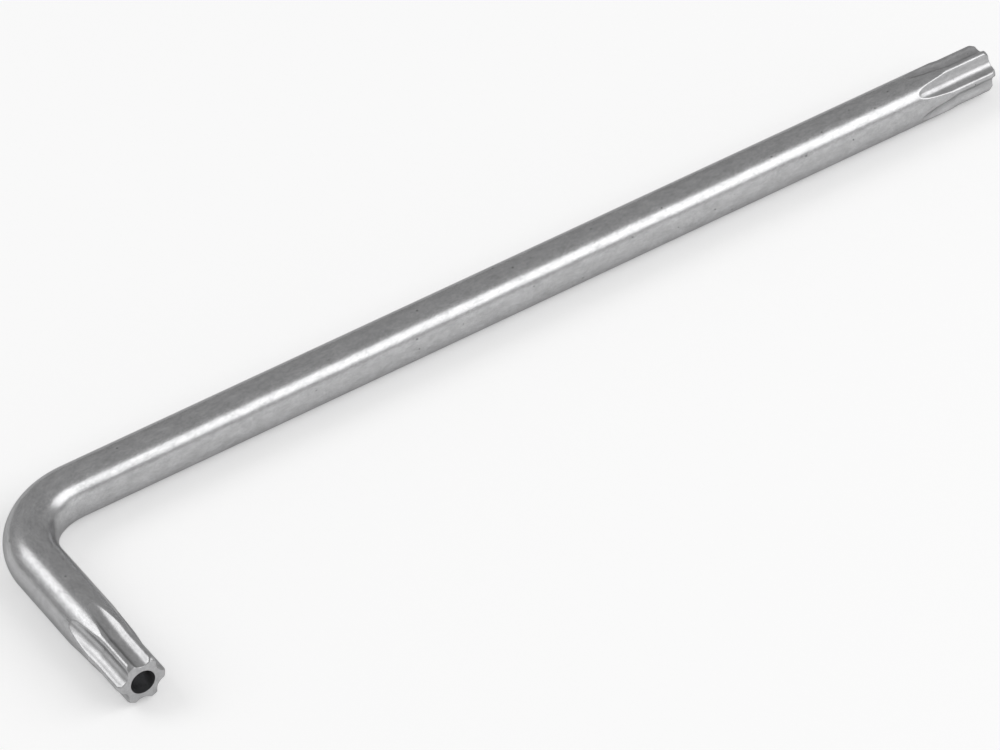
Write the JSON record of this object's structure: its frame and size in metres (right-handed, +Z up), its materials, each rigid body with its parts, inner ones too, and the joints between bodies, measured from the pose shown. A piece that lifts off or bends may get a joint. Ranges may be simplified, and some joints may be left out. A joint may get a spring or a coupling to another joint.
{
  "type": "star key",
  "caption": "L-shaped six-lobe key for tamper-proof screws, bent from one round steel bar, with a fluted and bored star on the end of each arm.",
  "frame": {"origin": "under the middle of the key's outline, on the surface that it lies on", "axes": "+X along the long arm to its star end, -Y along the short arm to its star end, +Z up through the bar's thickness"},
  "size_m": [0.156, 0.039, 0.007],
  "materials": {
    "satin_chrome": "satin chrome plate on steel"
  },
  "bodies": {
    "root": {"long_arm": "satin_chrome", "elbow": "satin_chrome", "short_arm": "satin_chrome", "long_arm_star": "satin_chrome", "short_arm_star": "satin_chrome"}
  },
  "joints": []
}
